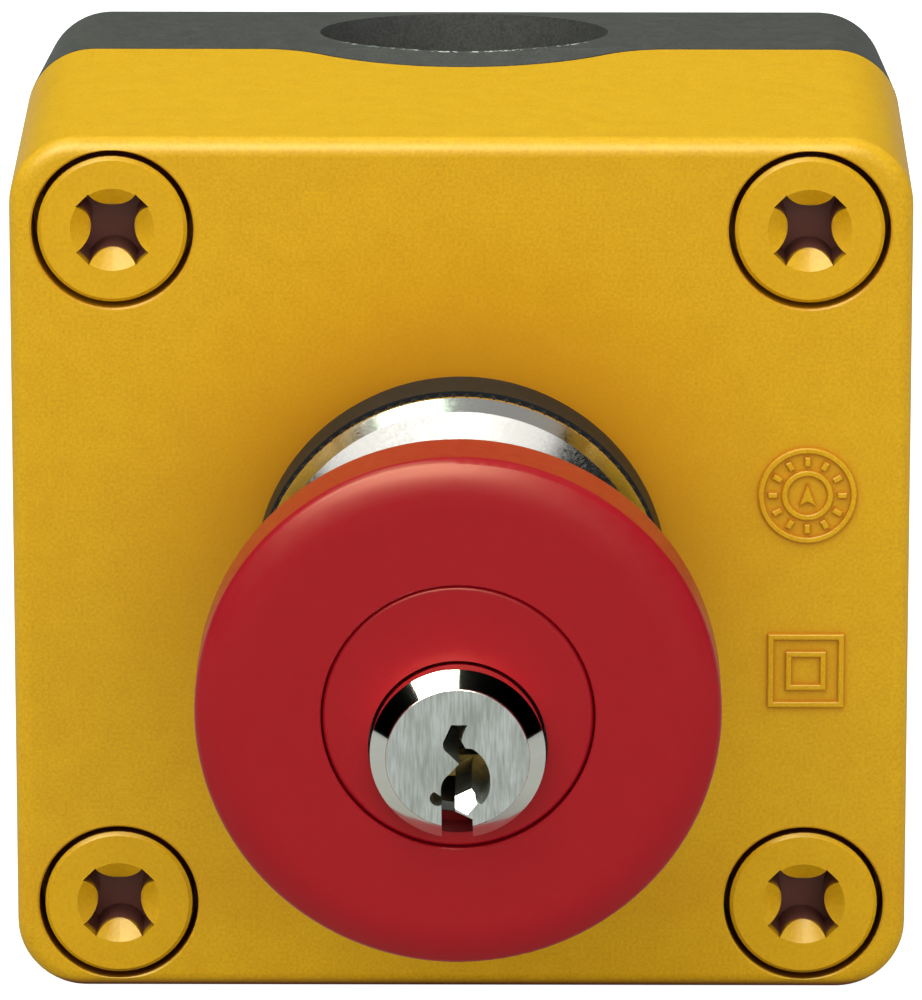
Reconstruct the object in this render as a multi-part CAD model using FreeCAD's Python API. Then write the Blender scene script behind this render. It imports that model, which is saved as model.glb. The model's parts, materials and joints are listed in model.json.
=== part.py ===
import FreeCAD, Part
import math
import os

# Emergency stop button: a red mushroom head with a key release, on a yellow and grey surface enclosure.
# Millimetres. The origin is the centre of the rear mounting face. +Z is up, +X is to the right as seen
# from the front, and the front looks along -Y. "depth" is the distance in front of the wall, so a point
# at depth d has y = -d. "height" is the distance in front of the cover's face.

CLEARANCE = 0.05

# Enclosure
WIDTH = 72.4
HEIGHT = 71.4
BASE_DEPTH = 25.0
COVER_DEPTH = 32.0
FACE_DEPTH = BASE_DEPTH + COVER_DEPTH
CORNER_RADIUS = 5.6
WALL = 2.5
PANEL = 3.0
FRONT_EDGE_RADIUS = 1.4
REAR_EDGE_RADIUS = 0.8
REAR_WIDTH = 71.4
REAR_HEIGHT = 66.2
PARTING_GAP = 0.35
SEAL_THICKNESS = 1.2
SEAL_INSET = 1.0

# Cable entries in the top and bottom walls
ENTRY_RADIUS = 12.1
ENTRY_DEPTH = 14.0
ENTRY_WALL = 3.0
ENTRY_PAD_RADIUS = 15.5
KNOCKOUT_THICKNESS = 1.2
TONGUE_RADIUS = 17.4
TONGUE_FILLET = 8.0

# Screws of the cover and their towers
SCREW_SPACING_X = 55.8
SCREW_SPACING_Z = 56.6
TOWER_RADIUS = 7.4
WELL_RADIUS = 6.5
WELL_DEPTH = 5.6
SCREW_HEAD_RADIUS = 6.0
SCREW_SHANK_RADIUS = 2.3
SCREW_TIP_DEPTH = 8.0

# Wall fixing holes
FIXING_SPACING = 52.0
FIXING_RADIUS = 2.15
FIXING_BOSS_RADIUS = 4.6
FIXING_BOSS_DEPTH = 4.0

# Actuator, along the button's axis
PANEL_HOLE_RADIUS = 11.25
KEY_NOTCH_WIDTH = 3.2
BODY_RADIUS = 11.1
BODY_BORE_RADIUS = 9.5
BODY_END = -20.5
COLLAR_RADIUS = 16.6
COLLAR_FRONT_RADIUS = 16.4
COLLAR_BORE_RADIUS = 12.55
COLLAR_FLOOR = 2.0
RIB_COUNT = 96
RING_RADIUS = 16.3
RING_FACE_RADIUS = 15.5
RING_SEAT = 6.5
RING_FRONT = 8.2
RING_CREST = 9.1
RING_CREST_RADIUS = 13.3
SPIGOT_RADIUS = 14.2
SPIGOT_FRONT = 7.3

# Mushroom head
PRESS_TRAVEL = 4.5
HEAD_RADIUS = 20.3
HEAD_CROWN = 40.3
CROWN_EDGE_RADIUS = 5.4
CROWN_EDGE_TURN = math.radians(36)
RIM_EDGE_RADIUS = 0.9
RIM_BOTTOM = 33.6
UNDERSIDE_EDGE_RADIUS = 1.2
NECK_RADIUS = 12.4
NECK_BOTTOM = 6.9
NECK_TOP = 23.0
POCKET_INNER_RADIUS = 9.65
POCKET_OUTER_RADIUS = 11.5
POCKET_TOP = 16.0
INSERT_RADIUS = 10.45
RECESS_RADIUS = 10.55
INSERT_SEAT = 37.0
INSERT_TOP = 40.1

# Lock: its plug sits below the button's axis
LOCK_OFFSET = -2.4
LOCK_HOUSING_RADIUS = 8.55
LOCK_HOUSING_REAR = 13.1
PLUG_RADIUS = 5.4
PLUG_HEAD_RADIUS = 6.75
PLUG_FACE_RADIUS = 5.55
PLUG_BEVEL_START = 41.9
PLUG_FACE = 43.2
PLUG_REAR = LOCK_HOUSING_REAR
TAIL_SIZE = 5.0
TAIL_END = 7.0
WAFER_COUNT = 6
WAFER_PITCH = 2.6
WAFER_FIRST = 20.0
WAFER_THICKNESS = 0.8

# Cam and latch pawls
STEM_RADIUS = 9.4
JOINT_HEIGHT = -8.05
CAM_RADIUS = 5.6
CAM_SHAFT_RADIUS = 3.0
CAM_COUPLING_RADIUS = 4.6
CAM_TOP = -5.0
KEY_TURN = math.radians(60)
PAWL_TRAVEL = 1.0
PAWL_PIN_RADIUS = 0.6
PAWL_PIN_PLACE = 4.0
PAWL_HALF_WIDTH = 2.5
PAWL_TOP = -8.1
PAWL_BOTTOM = -10.6
PAWL_INNER_END = 2.3
PAWL_TIP_RADIUS = 9.45
GROOVE_RADIUS = 10.45

# Pusher plate
PUSHER_RADIUS = 10.6
PUSHER_REAR = -22.7
PUSHER_SCREW_RADIUS = 1.5
STEM_SCREW_PLACE = 5.5
STEM_SCREW_RADIUS = 1.0

# Contact blocks
BLOCK_OFFSET = 5.3
BLOCK_WIDTH = 10.4
BLOCK_TOP = 28.5
BLOCK_SHELF = 1.7
BLOCK_HALF_HEIGHT = 15.9
FOOT_HALF_HEIGHT = 17.0
FOOT_TOP = 7.0
CAVITY_HALF_WIDTH = 3.9
CAVITY_HALF_HEIGHT = 9.0
REAR_COVER_THICKNESS = 1.4
TERMINAL_PLACE = 12.6
TERMINAL_POCKET = 5.8
STRIP_THICKNESS = 0.8
STRIP_WIDTH = 4.0
TIP_RADIUS = 1.15
TIP_PLACE = 6.6
NC_LEVEL = 20.0
NO_LEVEL = 14.0
NO_GAP = 1.7
PLUNGER_TOP = FACE_DEPTH + PUSHER_REAR - 0.02
PLUNGER_BOTTOM = 11.4
PLUNGER_HALF_WIDTH = 2.4
PLUNGER_HALF_HEIGHT = 2.2
BRIDGE_HALF_WIDTH = 1.2
BRIDGE_HALF_LENGTH = 7.8
WINDOW_HALF_WIDTH = 1.3


# ---- Helpers ---------------------------------------------------------------------------------------

def at_height(height):
    """Depth of a point that stands a height in front of the cover's face."""
    return FACE_DEPTH + height


def closed_face(start, *moves):
    """Face in the XY plane. A move is an end point for a line, or a (middle, end) pair for an arc."""
    edges = []
    here = FreeCAD.Vector(start[0], start[1], 0)
    for move in moves + (start,):
        if isinstance(move[0], tuple):
            middle = FreeCAD.Vector(move[0][0], move[0][1], 0)
            there = FreeCAD.Vector(move[1][0], move[1][1], 0)
            edges.append(Part.Arc(here, middle, there).toShape())
        else:
            there = FreeCAD.Vector(move[0], move[1], 0)
            if here.distanceToPoint(there) > 1e-6:
                edges.append(Part.makeLine(here, there))
        here = there
    return Part.Face(Part.Wire(edges))


def turned(start, *moves, z=0.0):
    """Solid turned about the depth axis from an outline of (radius, depth) points."""
    face = closed_face(start, *moves).mirror(FreeCAD.Vector(), FreeCAD.Vector(0, 1, 0))
    solid = face.revolve(FreeCAD.Vector(), FreeCAD.Vector(0, 1, 0), 360)
    solid = Part.Solid(solid.Shells[0]) if solid.ShapeType != "Solid" else solid
    return solid.translated(FreeCAD.Vector(0, 0, z))


def raised(face, depth_from, depth_to):
    """Prism from a face whose points are (x, z), between two depths."""
    upright = face.rotated(FreeCAD.Vector(), FreeCAD.Vector(1, 0, 0), 90)
    upright = upright.translated(FreeCAD.Vector(0, -depth_from, 0))
    return upright.extrude(FreeCAD.Vector(0, depth_from - depth_to, 0))


def rod(radius, depth_from, depth_to, x=0.0, z=0.0):
    """Round bar along the depth axis."""
    start = FreeCAD.Vector(x, -depth_from, z)
    return Part.makeCylinder(radius, depth_to - depth_from, start, FreeCAD.Vector(0, -1, 0))


def cone(radius_from, radius_to, depth_from, depth_to, x=0.0, z=0.0):
    """Cone along the depth axis."""
    start = FreeCAD.Vector(x, -depth_from, z)
    direction = FreeCAD.Vector(0, -1, 0)
    return Part.makeCone(radius_from, radius_to, depth_to - depth_from, start, direction)


def block(x_from, x_to, depth_from, depth_to, z_from, z_to):
    """Plain block between two limits on each axis."""
    corner = FreeCAD.Vector(x_from, -depth_to, z_from)
    return Part.makeBox(x_to - x_from, depth_to - depth_from, z_to - z_from, corner)


def slab(width, height, radius, depth_from, depth_to):
    """Centred block with its four depthwise edges rounded."""
    shape = block(-width / 2, width / 2, depth_from, depth_to, -height / 2, height / 2)
    return shape.makeFillet(radius, depthwise_edges(shape))


def depthwise_edges(shape):
    """Straight edges that run mostly along the depth axis."""
    found = []
    for edge in shape.Edges:
        run = edge.Vertexes[-1].Point - edge.Vertexes[0].Point
        if run.Length > 0 and abs(run.y) > 0.9 * run.Length:
            found.append(edge)
    return found


def edges_at(shape, depth):
    """Edges that lie wholly at one depth."""
    found = []
    for edge in shape.Edges:
        box = edge.BoundBox
        if abs(box.YMin + depth) < 1e-4 and abs(box.YMax + depth) < 1e-4:
            found.append(edge)
    return found


def mirrored_x(shape):
    return shape.mirror(FreeCAD.Vector(), FreeCAD.Vector(1, 0, 0))


def mirrored_z(shape):
    return shape.mirror(FreeCAD.Vector(), FreeCAD.Vector(0, 0, 1))


def both_ends(shape):
    """The shape and its mirror image above and below the button's axis."""
    return [shape, mirrored_z(shape)]


def at_screws(make):
    """One copy of a shape at each of the cover's four screws."""
    copies = []
    for x in (-SCREW_SPACING_X / 2, SCREW_SPACING_X / 2):
        for z in (-SCREW_SPACING_Z / 2, SCREW_SPACING_Z / 2):
            copies.append(make(x, z))
    return copies


def coil(mean_radius, wire_radius, turns, depth_from, depth_to, x=0.0, z=0.0):
    """Open coil spring along the depth axis, whose wire just fits between two depths."""
    length = depth_to - depth_from - 2 * wire_radius
    pitch = length / turns
    path = Part.makeHelix(pitch, length, mean_radius)
    slope = pitch / (2 * math.pi * mean_radius)
    ring = Part.Circle(FreeCAD.Vector(mean_radius, 0, 0), FreeCAD.Vector(0, 1, slope), wire_radius)
    spring = path.makePipeShell([Part.Wire(ring.toShape())], True, True)
    spring = spring.rotated(FreeCAD.Vector(), FreeCAD.Vector(1, 0, 0), 90)
    return spring.translated(FreeCAD.Vector(x, -depth_from - wire_radius, z))


def save(name, shape):
    shape.exportStep("parts/" + name + ".step")


# ---- Enclosure -------------------------------------------------------------------------------------

def drafted_box(inset, depth_from, depth_to):
    """Block that follows the base's sloping walls at a given inset."""
    def half_sizes(depth):
        share = depth / BASE_DEPTH
        half_width = (REAR_WIDTH + (WIDTH - REAR_WIDTH) * share) / 2 - inset
        half_height = (REAR_HEIGHT + (HEIGHT - REAR_HEIGHT) * share) / 2 - inset
        return half_width, half_height

    x_front, z_front = half_sizes(depth_to)
    x_rear, z_rear = half_sizes(depth_from)
    shape = Part.makeWedge(-x_front, -depth_to, -z_front, -z_rear, -x_rear,
                           x_front, -depth_from, z_front, z_rear, x_rear)
    return shape.makeFillet(CORNER_RADIUS - inset, depthwise_edges(shape))


def parting_block(offset):
    """Everything on the base's side of the parting line, with a rounded tongue around the entries."""
    line = BASE_DEPTH + offset
    tongue = TONGUE_RADIUS + offset
    fillet = TONGUE_FILLET - offset
    fillet_depth = line + fillet
    fillet_x = math.sqrt((tongue + fillet) ** 2 - (fillet_depth - ENTRY_DEPTH) ** 2)
    share = tongue / (tongue + fillet)
    meet_x = fillet_x * share
    meet_depth = ENTRY_DEPTH + (fillet_depth - ENTRY_DEPTH) * share
    toward = math.atan2(meet_depth - fillet_depth, meet_x - fillet_x)
    middle_angle = (toward - math.pi / 2) / 2
    if toward > 0:
        middle_angle = (toward - 2 * math.pi - math.pi / 2) / 2
    middle_x = fillet_x + fillet * math.cos(middle_angle)
    middle_depth = fillet_depth + fillet * math.sin(middle_angle)
    face = closed_face(
        (WIDTH, -WIDTH), (WIDTH, line), (fillet_x, line),
        ((middle_x, middle_depth), (meet_x, meet_depth)),
        ((0, ENTRY_DEPTH + tongue), (-meet_x, meet_depth)),
        ((-middle_x, middle_depth), (-fillet_x, line)),
        (-WIDTH, line), (-WIDTH, -WIDTH))
    face = face.mirror(FreeCAD.Vector(), FreeCAD.Vector(0, 1, 0))
    return face.translated(FreeCAD.Vector(0, 0, -HEIGHT)).extrude(FreeCAD.Vector(0, 0, 2 * HEIGHT))


def entry_rod(radius, z_from, z_to):
    """Round bar along the cable entries' common vertical axis."""
    start = FreeCAD.Vector(0, -ENTRY_DEPTH, z_from)
    return Part.makeCylinder(radius, z_to - z_from, start, FreeCAD.Vector(0, 0, 1))


def base():
    """Grey rear half: a tray with screw posts, cable entries, wall fixings and contact block hooks."""
    blank_half_width = TONGUE_RADIUS
    blank_top = ENTRY_DEPTH + TONGUE_RADIUS + 1
    shell = drafted_box(0, 0, BASE_DEPTH)
    shell = shell.makeFillet(REAR_EDGE_RADIUS, edges_at(shell, 0))
    outside = shell.fuse(block(-blank_half_width, blank_half_width, BASE_DEPTH, blank_top,
                               -HEIGHT / 2, HEIGHT / 2))
    inside = drafted_box(WALL, WALL, BASE_DEPTH)
    inside = inside.fuse(block(-blank_half_width - 1, blank_half_width + 1, BASE_DEPTH, blank_top + 1,
                               -HEIGHT / 2 + WALL, HEIGHT / 2 - WALL))
    shape = outside.cut(inside)

    posts = at_screws(lambda x, z: rod(TOWER_RADIUS, WALL, BASE_DEPTH, x, z))
    bosses = [rod(FIXING_BOSS_RADIUS, WALL - 0.5, FIXING_BOSS_DEPTH, side * FIXING_SPACING / 2)
              for side in (-1, 1)]
    pad_inner = REAR_HEIGHT / 2 - ENTRY_WALL
    pads = both_ends(entry_rod(ENTRY_PAD_RADIUS, pad_inner, HEIGHT / 2))
    shape = shape.fuse([post.common(outside) for post in posts + pads])
    shape = shape.fuse(bosses + both_ends(block_hook()))
    shape = shape.common(parting_block(0))

    openings = at_screws(lambda x, z: rod(SCREW_SHANK_RADIUS + CLEARANCE, SCREW_TIP_DEPTH - 1,
                                          FACE_DEPTH, x, z))
    openings += [rod(FIXING_RADIUS, -1, FACE_DEPTH, side * FIXING_SPACING / 2) for side in (-1, 1)]
    openings.append(entry_rod(ENTRY_RADIUS, pad_inner - 1, HEIGHT))
    web_outer = REAR_HEIGHT / 2 - 1
    openings.append(entry_rod(ENTRY_RADIUS, -HEIGHT, -web_outer))
    openings.append(entry_rod(ENTRY_RADIUS, -web_outer + KNOCKOUT_THICKNESS, 1 - pad_inner))
    return shape.cut(openings)


def block_hook():
    """Hook on the base's floor that holds the feet of both contact blocks."""
    post_inner = FOOT_HALF_HEIGHT + CLEARANCE
    hook = block(-2 * BLOCK_OFFSET, 2 * BLOCK_OFFSET, WALL - 0.5, FOOT_TOP + 1.6,
                 post_inner, post_inner + 2.5)
    nose = block(-2 * BLOCK_OFFSET, 2 * BLOCK_OFFSET, FOOT_TOP + CLEARANCE, FOOT_TOP + 1.6,
                 BLOCK_HALF_HEIGHT + 0.1, post_inner)
    return hook.fuse(nose)


def cover_marks():
    """Raised marks on the face: a double square, and a round mould clock with an arrow."""
    low = FACE_DEPTH - 0.1
    high = FACE_DEPTH + 0.3
    line = 0.5
    crown = 0.15
    centre_x = 27.9
    square_z = -8.4
    clock_z = 6.35

    def softened(shape):
        return shape.makeFillet(crown, edges_at(shape, high))

    def square_ring(side):
        half = side / 2
        inner = half - line
        outer_block = block(centre_x - half, centre_x + half, low, high, square_z - half, square_z + half)
        inner_block = block(centre_x - inner, centre_x + inner, low - 1, high + 1,
                            square_z - inner, square_z + inner)
        return softened(outer_block.cut(inner_block))

    def round_ring(radius):
        return softened(rod(radius, low, high, centre_x, clock_z).cut(
            rod(radius - line, low - 1, high + 1, centre_x, clock_z)))

    def tick(turn):
        bar = softened(block(-line / 2, line / 2, low, high, 2.4, 3.2))
        bar = bar.rotated(FreeCAD.Vector(), FreeCAD.Vector(0, 1, 0), turn)
        return bar.translated(FreeCAD.Vector(centre_x, 0, clock_z))

    arrow = closed_face((-0.7, -0.9), (0, -0.55), (0.7, -0.9), (0, 1.0))
    arrow = softened(raised(arrow, low, high)).translated(FreeCAD.Vector(centre_x, 0, clock_z))
    marks = [square_ring(6.2), square_ring(3.3), round_ring(4.0), round_ring(2.1), arrow]
    return marks + [tick(30 * step) for step in range(12)]


def cover_cavity(inset, depth_from, depth_to):
    """Room inside the cover between its walls and its screw towers."""
    room = slab(WIDTH - 2 * inset, HEIGHT - 2 * inset, CORNER_RADIUS - inset, depth_from, depth_to)
    return room.cut(at_screws(lambda x, z: rod(TOWER_RADIUS, depth_from, depth_to, x, z)))


def cover():
    """Yellow front half: a deep box with the actuator hole and four screw wells."""
    shape = slab(WIDTH, HEIGHT, CORNER_RADIUS, BASE_DEPTH, FACE_DEPTH)
    shape = shape.makeFillet(FRONT_EDGE_RADIUS, edges_at(shape, FACE_DEPTH))
    shape = shape.cut(cover_cavity(WALL, 0, FACE_DEPTH - PANEL))
    well_edge = 0.15
    for x in (-SCREW_SPACING_X / 2, SCREW_SPACING_X / 2):
        for z in (-SCREW_SPACING_Z / 2, SCREW_SPACING_Z / 2):
            well = rod(WELL_RADIUS, FACE_DEPTH - WELL_DEPTH, FACE_DEPTH + 1, x, z)
            mouth = cone(WELL_RADIUS, WELL_RADIUS + 2 * well_edge, FACE_DEPTH - well_edge,
                         FACE_DEPTH + well_edge, x, z)
            shank = rod(SCREW_SHANK_RADIUS + 0.2, 0, FACE_DEPTH, x, z)
            shape = shape.cut([well, mouth, shank])
    notch = block(-KEY_NOTCH_WIDTH / 2, KEY_NOTCH_WIDTH / 2, FACE_DEPTH - 2 * PANEL, FACE_DEPTH + 1,
                  0, PANEL_HOLE_RADIUS + 1.6)
    shape = shape.cut([rod(PANEL_HOLE_RADIUS, 0, FACE_DEPTH + 1), notch])
    rebate = parting_block(SEAL_THICKNESS).common(
        slab(WIDTH - 2 * SEAL_INSET, HEIGHT - 2 * SEAL_INSET, CORNER_RADIUS - SEAL_INSET, 0, FACE_DEPTH))
    shape = shape.cut([parting_block(PARTING_GAP), rebate])
    return shape.fuse(cover_marks()).removeSplitter()


def cover_seal():
    """Rubber seal along the parting line, widened to a pad at each screw."""
    inset = SEAL_INSET + CLEARANCE
    band = parting_block(SEAL_THICKNESS).cut(parting_block(0))
    outer = slab(WIDTH - 2 * inset, HEIGHT - 2 * inset, CORNER_RADIUS - inset, 0, FACE_DEPTH)
    inner = cover_cavity(WALL + CLEARANCE, 0, FACE_DEPTH)
    holes = at_screws(lambda x, z: rod(SCREW_SHANK_RADIUS + 0.2, 0, FACE_DEPTH, x, z))
    return band.common(outer).cut([inner] + holes)


def screw_recess(x, z, bottom, top):
    """Cross recess with flat-ended wings: a turned square hole with four round lobes left standing in it."""
    wing_reach = 3.4
    lobe_radius = 2.1
    lobe_place = 3.85
    square = block(-wing_reach, wing_reach, bottom, top, -wing_reach, wing_reach)
    square = square.rotated(FreeCAD.Vector(), FreeCAD.Vector(0, 1, 0), 45)
    lobes = [rod(lobe_radius, bottom - 1, top + 1, lobe_place * math.cos(turn), lobe_place * math.sin(turn))
             for turn in (0, math.pi / 2, math.pi, 3 * math.pi / 2)]
    return square.cut(lobes).translated(FreeCAD.Vector(x, 0, z))


def cover_screw(x, z):
    """Cover screw with a flush round head and a long plain shank."""
    recess_depth = 5.2
    sink_radius = 3.4
    sink_depth = 1.7
    seat = FACE_DEPTH - WELL_DEPTH
    head = rod(SCREW_HEAD_RADIUS, seat, FACE_DEPTH, x, z)
    head = head.makeChamfer(0.3, edges_at(head, FACE_DEPTH))
    sink = cone(1.4, sink_radius, FACE_DEPTH - sink_depth, FACE_DEPTH + 0.01, x, z)
    head = head.cut([screw_recess(x, z, FACE_DEPTH - recess_depth, FACE_DEPTH + 1), sink])
    shank = rod(SCREW_SHANK_RADIUS, SCREW_TIP_DEPTH, seat, x, z)
    shank = shank.makeChamfer(0.8, edges_at(shank, SCREW_TIP_DEPTH))
    return head.fuse(shank).removeSplitter()


def cover_screws():
    return Part.makeCompound(at_screws(cover_screw))


# ---- Actuator body ---------------------------------------------------------------------------------

def collar_gasket():
    """Flat rubber ring between the collar and the cover's face."""
    return turned((PANEL_HOLE_RADIUS + 2.0, at_height(0)), (COLLAR_RADIUS - 0.4, at_height(0)),
                  (COLLAR_RADIUS - 0.4, at_height(1)), (PANEL_HOLE_RADIUS + 2.0, at_height(1)))


def actuator_body():
    """Black tube through the panel with the collar in front and the latch groove near its rear end."""
    taper_top = RING_SEAT - 0.95
    shape = turned(
        (BODY_BORE_RADIUS, at_height(BODY_END)), (BODY_RADIUS, at_height(BODY_END)),
        (BODY_RADIUS, at_height(1)), (COLLAR_RADIUS - 0.5, at_height(1)),
        (COLLAR_RADIUS, at_height(1.7)), (COLLAR_RADIUS, at_height(2.6)),
        (COLLAR_FRONT_RADIUS + 0.1, at_height(taper_top)),
        (COLLAR_FRONT_RADIUS - 0.35, at_height(taper_top)),
        (COLLAR_FRONT_RADIUS - 0.35, at_height(RING_SEAT)),
        (SPIGOT_RADIUS, at_height(RING_SEAT)), (SPIGOT_RADIUS, at_height(SPIGOT_FRONT)),
        (COLLAR_BORE_RADIUS, at_height(SPIGOT_FRONT)), (COLLAR_BORE_RADIUS, at_height(COLLAR_FLOOR)),
        (BODY_BORE_RADIUS, at_height(COLLAR_FLOOR)))
    key = block(-KEY_NOTCH_WIDTH / 2 + 0.1, KEY_NOTCH_WIDTH / 2 - 0.1, at_height(-PANEL),
                at_height(1.2), BODY_RADIUS - 0.5, PANEL_HOLE_RADIUS + 1.4)
    groove = turned((BODY_BORE_RADIUS - 0.5, at_height(PAWL_BOTTOM - PRESS_TRAVEL - 0.2)),
                    (GROOVE_RADIUS, at_height(PAWL_BOTTOM - PRESS_TRAVEL - 0.2)),
                    (GROOVE_RADIUS, at_height(PAWL_TOP - PRESS_TRAVEL + 0.2)),
                    (BODY_BORE_RADIUS - 0.5, at_height(PAWL_TOP - PRESS_TRAVEL + 0.2)))
    return shape.fuse([key, collar_ribs(taper_top)]).cut(groove)


def collar_ribs(rib_bottom):
    """Band of fine ribs just behind the front ring."""
    points = []
    for step in range(2 * RIB_COUNT):
        radius = COLLAR_FRONT_RADIUS if step % 2 else COLLAR_FRONT_RADIUS - 0.3
        turn = math.pi * step / RIB_COUNT
        points.append((radius * math.cos(turn), radius * math.sin(turn)))
    band = raised(closed_face(*points), at_height(rib_bottom), at_height(RING_SEAT - 0.1))
    return band.cut(rod(SPIGOT_RADIUS, 0, at_height(RING_FRONT)))


def front_ring():
    """Bright ring pressed on the collar, with a broad bevel and a front that rises towards the bore."""
    bore = COLLAR_BORE_RADIUS + 0.05
    crest_drop = (RING_CREST_RADIUS - bore) / 2
    return turned(
        (SPIGOT_RADIUS + 0.02, at_height(RING_SEAT)), (RING_RADIUS, at_height(RING_SEAT)),
        (RING_RADIUS, at_height(RING_SEAT + 0.4)), (RING_FACE_RADIUS, at_height(RING_FRONT)),
        (RING_CREST_RADIUS, at_height(RING_CREST)),
        ((bore + 0.2, at_height(RING_CREST - crest_drop / 3)), (bore, at_height(RING_CREST - 2 * crest_drop))),
        (bore, at_height(SPIGOT_FRONT + 0.02)), (SPIGOT_RADIUS + 0.02, at_height(SPIGOT_FRONT + 0.02)))


def thrust_washer():
    """Thin washer between the ring nut and the panel's inner face."""
    inside = at_height(-PANEL)
    return rod(14.0, inside - 0.8, inside).cut(rod(BODY_RADIUS + CLEARANCE, 0, inside + 1))


def ring_nut():
    """Round nut with wrench notches on its rim."""
    top = at_height(-PANEL) - 0.8
    bottom = top - 5.2
    nut = rod(14.6, bottom, top)
    nut = nut.makeChamfer(0.5, edges_at(nut, bottom))
    notches = []
    for step in range(8):
        notch = block(-1.3, 1.3, bottom - 1, top + 1, 13.2, 16)
        notches.append(notch.rotated(FreeCAD.Vector(), FreeCAD.Vector(0, 1, 0), 45 * step))
    return nut.cut(notches + [rod(BODY_RADIUS + CLEARANCE, 0, at_height(0))])


def return_spring():
    """Spring that lifts the head, between the collar's floor and the pocket in the neck."""
    return coil(10.55, 0.55, 5.0, at_height(COLLAR_FLOOR + 0.02), at_height(POCKET_TOP - 0.02))


# ---- Mushroom head ---------------------------------------------------------------------------------

def mushroom_head():
    """Red head with a flat crown, a steep rim, a hollow neck and a spring pocket."""
    rim_centre = HEAD_RADIUS - RIM_EDGE_RADIUS
    crown_radius = rim_centre - (CROWN_EDGE_RADIUS - RIM_EDGE_RADIUS) * math.sin(CROWN_EDGE_TURN)
    crown_centre = HEAD_CROWN - CROWN_EDGE_RADIUS
    rim_top = crown_centre + (CROWN_EDGE_RADIUS - RIM_EDGE_RADIUS) * math.cos(CROWN_EDGE_TURN)

    def on_crown_edge(turn):
        return (crown_radius + CROWN_EDGE_RADIUS * math.sin(turn),
                at_height(crown_centre + CROWN_EDGE_RADIUS * math.cos(turn)))

    def on_rim_edge(turn):
        return (rim_centre + RIM_EDGE_RADIUS * math.sin(turn),
                at_height(rim_top + RIM_EDGE_RADIUS * math.cos(turn)))

    bore = LOCK_HOUSING_RADIUS + CLEARANCE
    under_radius = HEAD_RADIUS - UNDERSIDE_EDGE_RADIUS
    under = RIM_BOTTOM - UNDERSIDE_EDGE_RADIUS
    under_middle = UNDERSIDE_EDGE_RADIUS * (1 - math.sqrt(0.5))
    recess_edge = 0.1
    return turned(
        (bore, at_height(NECK_BOTTOM)), (POCKET_INNER_RADIUS, at_height(NECK_BOTTOM)),
        (POCKET_INNER_RADIUS, at_height(POCKET_TOP)), (POCKET_OUTER_RADIUS, at_height(POCKET_TOP)),
        (POCKET_OUTER_RADIUS, at_height(NECK_BOTTOM)), (NECK_RADIUS, at_height(NECK_BOTTOM)),
        (NECK_RADIUS, at_height(NECK_TOP)),
        ((NECK_RADIUS + 1.9, at_height(under - 1.9)), (under_radius, at_height(under))),
        ((HEAD_RADIUS - under_middle, at_height(under + under_middle)), (HEAD_RADIUS, at_height(RIM_BOTTOM))),
        (HEAD_RADIUS, at_height(rim_top)),
        (on_rim_edge((CROWN_EDGE_TURN + math.pi / 2) / 2), on_rim_edge(CROWN_EDGE_TURN)),
        (on_crown_edge(CROWN_EDGE_TURN / 2), (crown_radius, at_height(HEAD_CROWN))),
        (RECESS_RADIUS + recess_edge, at_height(HEAD_CROWN)),
        (RECESS_RADIUS, at_height(HEAD_CROWN - recess_edge)),
        (RECESS_RADIUS, at_height(INSERT_SEAT)), (bore, at_height(INSERT_SEAT)))


def head_insert():
    """Red disc in the crown with a rounded edge, and the hole for the lock plug set low."""
    edge = 0.4
    edge_middle = edge * (1 - math.sqrt(0.5))
    disc = turned(
        (0, at_height(INSERT_SEAT)), (INSERT_RADIUS, at_height(INSERT_SEAT)),
        (INSERT_RADIUS, at_height(INSERT_TOP - edge)),
        ((INSERT_RADIUS - edge_middle, at_height(INSERT_TOP - edge_middle)),
         (INSERT_RADIUS - edge, at_height(INSERT_TOP))),
        (0, at_height(INSERT_TOP)))
    return disc.cut(rod(PLUG_HEAD_RADIUS + 0.15, at_height(0), at_height(INSERT_TOP + 1), 0, LOCK_OFFSET))


def lock_housing():
    """Metal barrel in the head with an eccentric bore and a channel for the wafers."""
    barrel = rod(LOCK_HOUSING_RADIUS, at_height(LOCK_HOUSING_REAR), at_height(INSERT_SEAT - 0.05))
    bore = rod(PLUG_RADIUS + CLEARANCE, at_height(0), at_height(INSERT_SEAT), 0, LOCK_OFFSET)
    channel_top = LOCK_OFFSET + PLUG_RADIUS + 2.4
    channel = block(-3.1, 3.1, at_height(LOCK_HOUSING_REAR + 5), at_height(INSERT_SEAT - 2),
                    0, channel_top)
    return barrel.cut([bore, channel])


def keyway(depth_from, depth_to):
    """Paracentric keyway that opens through the lower edge of the plug's face."""
    slot = closed_face(
        (-0.5, 2.7), (0.75, 2.7),
        ((0.4, 1.9), (0.3, 1.4)), (0.6, 0.85), (1.15, 0.8),
        ((2.1, -0.2), (2.5, -1.8)), ((2.35, -2.9), (1.8, -3.7)),
        (1.05, -2.75), (-0.2, -3.25), (-0.2, -4.2), (1.15, -4.85), (1.2, -PLUG_HEAD_RADIUS - 1),
        (-1.2, -PLUG_HEAD_RADIUS - 1), (-1.25, -3.7),
        ((-2.1, -3.4), (-1.8, -2.65)), (-1.3, -3.0), (-1.3, -2.5),
        ((-1.1, -1.75), (-0.6, -1.2)), (0.1, -0.4), (-0.75, 0.45),
        ((-1.1, 0.9), (-1.05, 1.45)))
    return raised(slot, depth_from, depth_to).translated(FreeCAD.Vector(0, 0, LOCK_OFFSET))


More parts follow.
